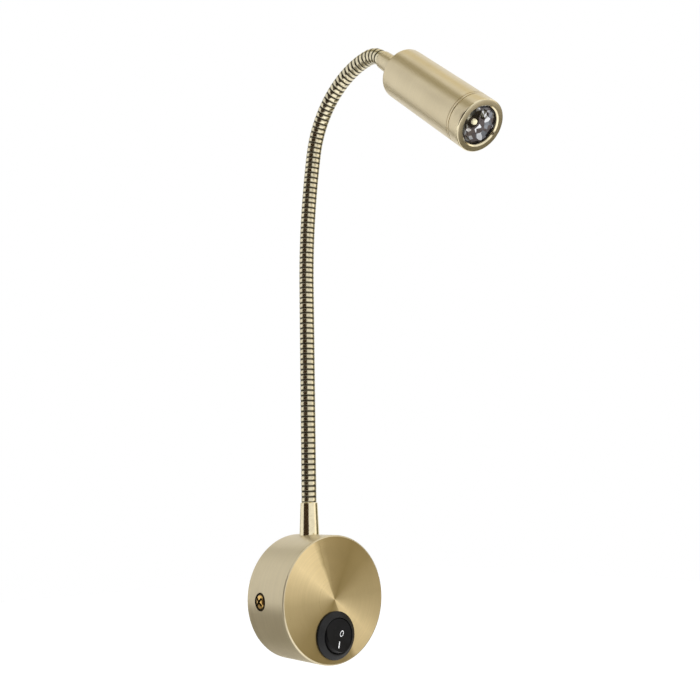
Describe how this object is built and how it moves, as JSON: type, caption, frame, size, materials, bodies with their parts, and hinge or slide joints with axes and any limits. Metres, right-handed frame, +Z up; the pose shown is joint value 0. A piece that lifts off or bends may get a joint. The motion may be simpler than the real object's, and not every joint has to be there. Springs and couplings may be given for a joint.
{
  "type": "bedside wall reading lamp",
  "caption": "Wall reading lamp: drum base with rocker switch, ribbed flexible neck and a small cylindrical spotlight head",
  "frame": {"origin": "centre of the base's back face, on the wall", "axes": "+Z up, +Y into the wall, the lamp stands out towards -Y, +X to the right as seen from the room"},
  "size_m": [0.0634, 0.146, 0.3052],
  "materials": {
    "antique_brass": "satin, brushed, lightly aged",
    "hose_metal": "satin, darker in the grooves",
    "bright_brass": "bright",
    "zinc_steel": "zinc plated",
    "tinned_brass": "tinned",
    "plain_aluminium": "as turned",
    "driver_case": "smooth",
    "white_plastic": "smooth",
    "black_plastic": "fine grain",
    "rocker_plastic": "half gloss",
    "wire_insulation": "smooth",
    "lead_jacket": "smooth",
    "board": "white lacquer",
    "emitter": "phosphor yellow under a clear dome",
    "clear_lens": "clear, polished",
    "seal_rubber": "soft"
  },
  "bodies": {
    "base": {"base_cover": "antique_brass", "mounting_bracket": "zinc_steel", "side_screws": "bright_brass", "led_driver": "driver_case", "terminal_block": "white_plastic", "switch_body": "black_plastic", "switch_terminals": "tinned_brass", "switch_wires": "wire_insulation", "driver_output_wires": "wire_insulation", "neck_collar_lower": "antique_brass", "neck_washer_lower": "zinc_steel", "neck_nut_lower": "zinc_steel", "hose_segment_1": "hose_metal", "neck_lead_1": "lead_jacket"},
    "rocker": {"switch_rocker": "rocker_plastic"},
    "neck_2": {"hose_segment_2": "hose_metal", "neck_lead_2": "lead_jacket"},
    "neck_3": {"hose_segment_3": "hose_metal", "neck_lead_3": "lead_jacket"},
    "neck_4": {"hose_segment_4": "hose_metal", "neck_lead_4": "lead_jacket"},
    "neck_5": {"hose_segment_5": "hose_metal", "neck_lead_5": "lead_jacket"},
    "neck_6": {"hose_segment_6": "hose_metal", "neck_lead_6": "lead_jacket"},
    "head": {"hose_segment_7": "hose_metal", "neck_lead_7": "lead_jacket", "neck_collar_upper": "antique_brass", "neck_nut_upper": "zinc_steel", "head_body": "antique_brass", "heat_sink": "plain_aluminium", "led_board": "board", "led_emitter": "emitter", "lens_holder": "black_plastic", "lens": "clear_lens", "lens_seal": "seal_rubber", "bezel_ring": "antique_brass", "head_wires": "wire_insulation"}
  },
  "joints": [
    {"name": "switch_rock", "type": "hinge", "parent": "base", "child": "rocker", "pos_m": [0, -0.0312, -0.017], "axis": [0.866, 0, -0.5], "range_deg": [0, 20]},
    {"name": "neck_1_side", "type": "hinge", "parent": "base", "child": "neck_2", "pos_m": [0, -0.0105, 0.08574], "axis": [0, -1, 0], "range_deg": [-25, 25]},
    {"name": "neck_2_nod", "type": "hinge", "parent": "neck_2", "child": "neck_3", "pos_m": [0, -0.0105, 0.12427], "axis": [1, 0, 0], "range_deg": [-25, 25]},
    {"name": "neck_3_side", "type": "hinge", "parent": "neck_3", "child": "neck_4", "pos_m": [0, -0.0105, 0.16006], "axis": [0, -1, 0], "range_deg": [-25, 25]},
    {"name": "neck_4_nod", "type": "hinge", "parent": "neck_4", "child": "neck_5", "pos_m": [0, -0.01259, 0.19852], "axis": [1, 0, 0], "range_deg": [-25, 25]},
    {"name": "neck_5_side", "type": "hinge", "parent": "neck_5", "child": "neck_6", "pos_m": [0, -0.0191, 0.23647], "axis": [0, -0.96, -0.28], "range_deg": [-25, 25]},
    {"name": "neck_6_nod", "type": "hinge", "parent": "neck_6", "child": "head", "pos_m": [0, -0.04066, 0.26395], "axis": [1, 0, 0], "range_deg": [-25, 25]}
  ]
}
